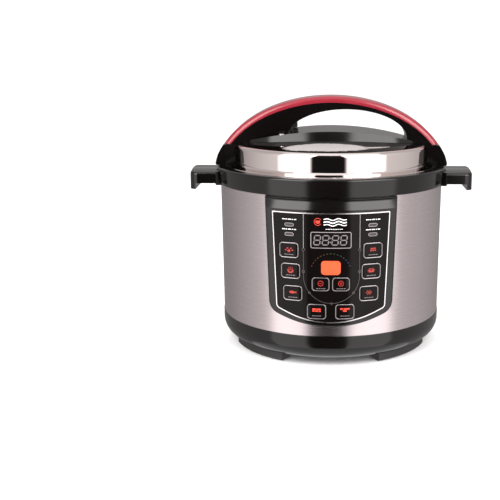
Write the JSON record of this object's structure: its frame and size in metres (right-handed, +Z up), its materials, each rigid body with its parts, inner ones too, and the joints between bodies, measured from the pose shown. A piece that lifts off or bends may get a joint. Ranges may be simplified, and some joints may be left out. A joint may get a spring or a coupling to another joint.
{
  "type": "electric pressure cooker",
  "caption": "Round countertop electric pressure cooker with a domed bayonet lid under an arched carrying handle, steam valves, removable pot and a front panel of push keys.",
  "frame": {"origin": "on the ground under the pot's axis, at the soles of the feet", "axes": "+Z up, -Y towards the control panel, +X through the right side handle"},
  "size_m": [0.357, 0.3035, 0.317],
  "materials": {
    "black_gloss": "high gloss moulded",
    "red_gloss": "high gloss lacquered",
    "brushed_steel": "vertical fine brushing",
    "polished_steel": "mirror polished",
    "satin_steel": "satin",
    "coated_aluminium": "spun and satin",
    "enamelled_steel": "satin grey",
    "spring_steel": "drawn wire",
    "galvanised_plate": "fine textured black",
    "black_rubber": "matte",
    "silicone": "translucent matte",
    "matte_black": "fine spark texture",
    "clear_plastic": "clear moulded",
    "smoked_lens": "smoked polished",
    "printed_face": "glossy back-printed sheet",
    "circuit_board": "solder mask",
    "component_black": "moulded",
    "key_black": "glossy",
    "key_orange": "glossy"
  },
  "bodies": {
    "cooker": {"base_screws": "satin_steel", "base_shell": "black_gloss", "bottom_cover": "galvanised_plate", "condensate_rails": "matte_black", "control_board": "circuit_board", "display_module": "component_black", "display_window": "smoked_lens", "drain_spout": "matte_black", "feet": "matte_black", "foot_pads": "black_rubber", "heating_element": "satin_steel", "heating_plate": "coated_aluminium", "inlet_pins": "satin_steel", "inlet_socket": "matte_black", "lamp_lenses": "clear_plastic", "outer_casing": "brushed_steel", "outer_pot": "enamelled_steel", "outer_pot_struts": "satin_steel", "panel_bezel": "black_gloss", "panel_overlay": "printed_face", "panel_trim": "polished_steel", "power_board": "circuit_board", "power_components": "component_black", "pressure_switch": "matte_black", "sensor_spring": "spring_steel", "side_handle_left": "black_gloss", "side_handle_right": "black_gloss", "side_handle_screws": "satin_steel", "tact_switches": "component_black", "thermal_fuse": "matte_black", "top_collar": "black_gloss"},
    "condensate_box_body": {"condensate_box": "clear_plastic"},
    "sensor_body": {"temperature_sensor": "coated_aluminium"},
    "pot_body": {"inner_pot": "coated_aluminium"},
    "gasket_body": {"sealing_gasket": "silicone", "gasket_ring": "satin_steel"},
    "lid_body": {"lid_shell": "polished_steel", "lid_handle_base": "black_gloss", "lid_handle_body": "black_gloss", "lid_handle_cover": "red_gloss", "lid_handle_screws": "satin_steel", "vent_stem": "satin_steel", "float_guide": "satin_steel", "anti_block_screen": "satin_steel"},
    "vent_weight_body": {"vent_weight": "coated_aluminium"},
    "vent_knob_body": {"vent_knob": "matte_black"},
    "float_body": {"float_pin": "satin_steel", "float_seal": "silicone"},
    "key_cancel_body": {"key_cancel": "key_black"},
    "key_left_low_body": {"key_left_low": "key_black"},
    "key_left_middle_body": {"key_left_middle": "key_black"},
    "key_left_top_body": {"key_left_top": "key_black"},
    "key_minus_body": {"key_minus": "key_black"},
    "key_plus_body": {"key_plus": "key_black"},
    "key_preset_body": {"key_preset": "key_orange"},
    "key_right_low_body": {"key_right_low": "key_black"},
    "key_right_middle_body": {"key_right_middle": "key_black"},
    "key_right_top_body": {"key_right_top": "key_black"},
    "key_start_body": {"key_start": "key_black"}
  },
  "joints": [
    {"name": "lid_lift", "type": "slide", "parent": "cooker", "child": "gasket_body", "axis": [0, 0, 1], "range_m": [0, 0.27]},
    {"name": "lid_turn", "type": "hinge", "parent": "gasket_body", "child": "lid_body", "pos_m": [0, 0, 0.231], "axis": [0, 0, 1], "range_deg": [0, 28]},
    {"name": "inner_pot_lift", "type": "slide", "parent": "cooker", "child": "pot_body", "axis": [0, 0, 1], "range_m": [0, 0.165]},
    {"name": "steam_valve_lift", "type": "slide", "parent": "lid_body", "child": "vent_weight_body", "axis": [0, 0, 1], "range_m": [0, 0.0025]},
    {"name": "steam_valve_turn", "type": "hinge", "parent": "vent_weight_body", "child": "vent_knob_body", "pos_m": [-0.056, 0.0375, 0.285], "axis": [0, 0, -1], "range_deg": [0, 40]},
    {"name": "float_valve_rise", "type": "slide", "parent": "lid_body", "child": "float_body", "axis": [0, 0, 1], "range_m": [0, 0.0042]},
    {"name": "sensor_press", "type": "slide", "parent": "cooker", "child": "sensor_body", "axis": [0, 0, 1], "range_m": [-0.002, 0], "stiffness_N_per_m": 300, "springref_m": 0.002, "deforming": ["sensor_spring"]},
    {"name": "condensate_box_pull", "type": "slide", "parent": "cooker", "child": "condensate_box_body", "axis": [0, 1, 0], "range_m": [0, 0.03]},
    {"name": "key_cancel_press", "type": "slide", "parent": "cooker", "child": "key_cancel_body", "axis": [0, 1, 0], "range_m": [0, 0.0008], "stiffness_N_per_m": 800, "springref_m": -0.0004},
    {"name": "key_left_low_press", "type": "slide", "parent": "cooker", "child": "key_left_low_body", "axis": [0, 1, 0], "range_m": [0, 0.0008], "stiffness_N_per_m": 800, "springref_m": -0.0004},
    {"name": "key_left_middle_press", "type": "slide", "parent": "cooker", "child": "key_left_middle_body", "axis": [0, 1, 0], "range_m": [0, 0.0008], "stiffness_N_per_m": 800, "springref_m": -0.0004},
    {"name": "key_left_top_press", "type": "slide", "parent": "cooker", "child": "key_left_top_body", "axis": [0, 1, 0], "range_m": [0, 0.0008], "stiffness_N_per_m": 800, "springref_m": -0.0004},
    {"name": "key_minus_press", "type": "slide", "parent": "cooker", "child": "key_minus_body", "axis": [0, 1, 0], "range_m": [0, 0.0008], "stiffness_N_per_m": 800, "springref_m": -0.0004},
    {"name": "key_plus_press", "type": "slide", "parent": "cooker", "child": "key_plus_body", "axis": [0, 1, 0], "range_m": [0, 0.0008], "stiffness_N_per_m": 800, "springref_m": -0.0004},
    {"name": "key_preset_press", "type": "slide", "parent": "cooker", "child": "key_preset_body", "axis": [0, 1, 0], "range_m": [0, 0.0008], "stiffness_N_per_m": 800, "springref_m": -0.0004},
    {"name": "key_right_low_press", "type": "slide", "parent": "cooker", "child": "key_right_low_body", "axis": [0, 1, 0], "range_m": [0, 0.0008], "stiffness_N_per_m": 800, "springref_m": -0.0004},
    {"name": "key_right_middle_press", "type": "slide", "parent": "cooker", "child": "key_right_middle_body", "axis": [0, 1, 0], "range_m": [0, 0.0008], "stiffness_N_per_m": 800, "springref_m": -0.0004},
    {"name": "key_right_top_press", "type": "slide", "parent": "cooker", "child": "key_right_top_body", "axis": [0, 1, 0], "range_m": [0, 0.0008], "stiffness_N_per_m": 800, "springref_m": -0.0004},
    {"name": "key_start_press", "type": "slide", "parent": "cooker", "child": "key_start_body", "axis": [0, 1, 0], "range_m": [0, 0.0008], "stiffness_N_per_m": 800, "springref_m": -0.0004}
  ],
  "couplings": [
    {"joint": "inner_pot_lift", "follows": "lid_lift", "ratio": 0.6}
  ]
}
